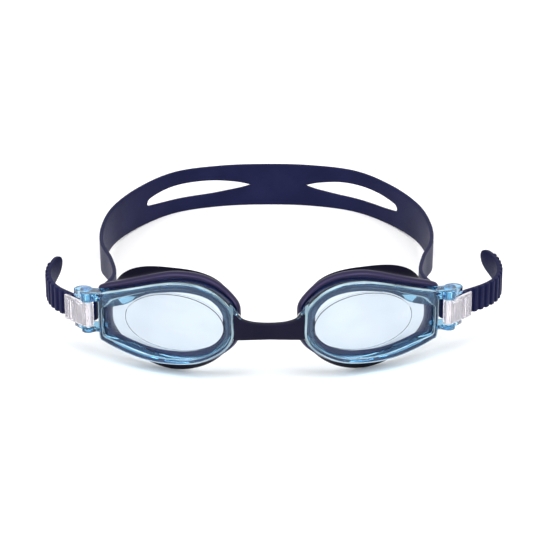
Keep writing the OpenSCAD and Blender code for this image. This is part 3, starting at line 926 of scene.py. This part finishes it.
# ---------------------------------------------------------------- nose bridge
BRIDGE_END, BRIDGE_Y, BRIDGE_T = 13.45, 2.3, 3.4
HOLLOW_X, HOLLOW_Z, BRIDGE_TOP = 12.2, 3.4, 4.85
BRIDGE_BOTTOM, BRIDGE_DROP = -4.7, 0.3
TAB_U, TAB_V, TAB_D = 0.9, (-3.6, 3.8), (1.2, 3.2)
SLANT_START = 6
CUP_SLANT = ALONG @ LEVEL / ALONG[0]                          # how the rim's nose side slants, in plan
RING_ANGLES = np.linspace(0, 2 * math.pi, 48, endpoint=False)


def squarer(value, power):
    """A cosine or sine drawn toward 1 or -1, so that an oval's sides flatten."""
    return math.copysign(abs(value) ** power, value)


def bridge_ring(x):
    """The bridge's soft-cornered section at x, turned toward the rim's slant near its end."""
    top = BRIDGE_TOP - HOLLOW_Z * math.sqrt(max(0.0, 1 - (x / HOLLOW_X) ** 2))
    bottom = BRIDGE_BOTTOM - BRIDGE_DROP * x / BRIDGE_END
    slant = CUP_SLANT * min(1.0, max(0.0, (x - SLANT_START) / (BRIDGE_END - SLANT_START)))
    ring = []
    for a in RING_ANGLES:
        y = BRIDGE_Y + BRIDGE_T / 2 * squarer(math.cos(a), 0.4)
        z = (top + bottom) / 2 + (top - bottom) / 2 * squarer(math.sin(a), 0.35)
        ring.append(front(x - slant * y, y, z))
    return ring


def tab_ring(u):
    """The section of the tab that holds in the rim."""
    ring = []
    for a in RING_ANGLES:
        d = np.mean(TAB_D) + np.ptp(TAB_D) / 2 * squarer(math.cos(a), 0.3)
        v = np.mean(TAB_V) + np.ptp(TAB_V) / 2 * squarer(math.sin(a), 0.3)
        ring.append(cup(u, v, d))
    return ring


def bridge_half(side):
    rings = [bridge_ring(x) for x in np.linspace(0, BRIDGE_END, 30)]
    rings += [tab_ring(u) for u in (-0.1, TAB_U - 0.2, TAB_U)]
    body = open_at_middle(solid("bridge", rings))
    smooth(body, 50)
    place_side(body, side)
    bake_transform(body)
    body.name = side + "_bridge_half"
    return body


# ---------------------------------------------------------------- the goggles
bands, bridges = [], []
for side in SIDES:
    frame_piece(side)
    lens_piece(side)
    seal_piece(side)
    clip_piece(side)
    tail_piece(side)
    bands.append(strap_half(side))
    bridges.append(bridge_half(side))
for piece in bands:
    finish_piece(piece, piece.name, STRAP_NAVY, ["head_strap"])
for piece in bridges:
    finish_piece(piece, piece.name, BRIDGE_BLACK, ["nose_bridge"])
for side in SIDES:
    for node, material in (("_clip_pin", PIN_STEEL), ("_roller", FRAME_BLUE)):
        obj = frame["nodes"][side + node]
        obj.data.materials.clear()
        obj.data.materials.append(material)


# ---------------------------------------------------------------- studio
FLOOR_HALF = 3.0
WORLD_STRENGTH = 0.8
CUPS = (0, -0.03, 0.02)                                       # what the side lights point at
CAMERA_AIM = Vector((0.003, -0.0248, 0.0187))
AZIMUTH, ELEVATION = math.radians(-0.8), math.radians(27.0)
CAMERA_DISTANCE, SEEN_WIDTH = 0.72, 0.2215


def studio_floor():
    h = FLOOR_HALF
    floor = mesh_from("floor", [(-h, -h, 0), (h, -h, 0), (h, h, 0), (-h, h, 0)], [(0, 1, 2, 3)])
    material, nodes, links, bsdf = node_tree("paper")
    fibre = object_noise(nodes, links, 30, 3)
    links.new(ramp(nodes, links, fibre, (0.93, 0.93, 0.935), (0.95, 0.95, 0.955)), bsdf.inputs["Base Color"])
    set_values(bsdf, {"Roughness": 0.9, "Specular IOR Level": 0.1})
    floor.data.materials.append(material)


def softbox(name, place, target, size, power):
    light = bpy.data.lights.new(name, "AREA")
    light.shape = "RECTANGLE"
    light.size, light.size_y = size
    light.energy = power
    obj = add_object(name, light)
    obj.location = place
    obj.rotation_euler = (Vector(target) - Vector(place)).to_track_quat("-Z", "Y").to_euler()


def studio():
    studio_floor()
    world = bpy.data.worlds.new("studio")
    bpy.context.scene.world = world
    world.use_nodes = True
    set_values(world.node_tree.nodes["Background"], {"Color": (1, 1, 1, 1), "Strength": WORLD_STRENGTH})
    softbox("top", (0, -0.42, 1.1), (0, -0.02, 0), (0.8, 0.36), 6)
    softbox("left_box", (-0.75, -0.55, 0.75), CUPS, (0.35, 0.5), 5)
    softbox("right_box", (0.75, -0.55, 0.75), CUPS, (0.35, 0.5), 5)
    bpy.context.scene.view_settings.view_transform = "Standard"


def camera():
    data = bpy.data.cameras.new("camera")
    data.lens = data.sensor_width * CAMERA_DISTANCE / SEEN_WIDTH
    data.clip_start = 0.05
    obj = add_object("camera", data)
    level = math.cos(ELEVATION)
    back = Vector((math.sin(AZIMUTH) * level, -math.cos(AZIMUTH) * level, math.sin(ELEVATION)))
    obj.location = CAMERA_AIM + back * CAMERA_DISTANCE
    obj.rotation_mode = "QUATERNION"
    obj.rotation_quaternion = (-back).to_track_quat("-Z", "Y")
    bpy.context.scene.camera = obj


camera()
studio()
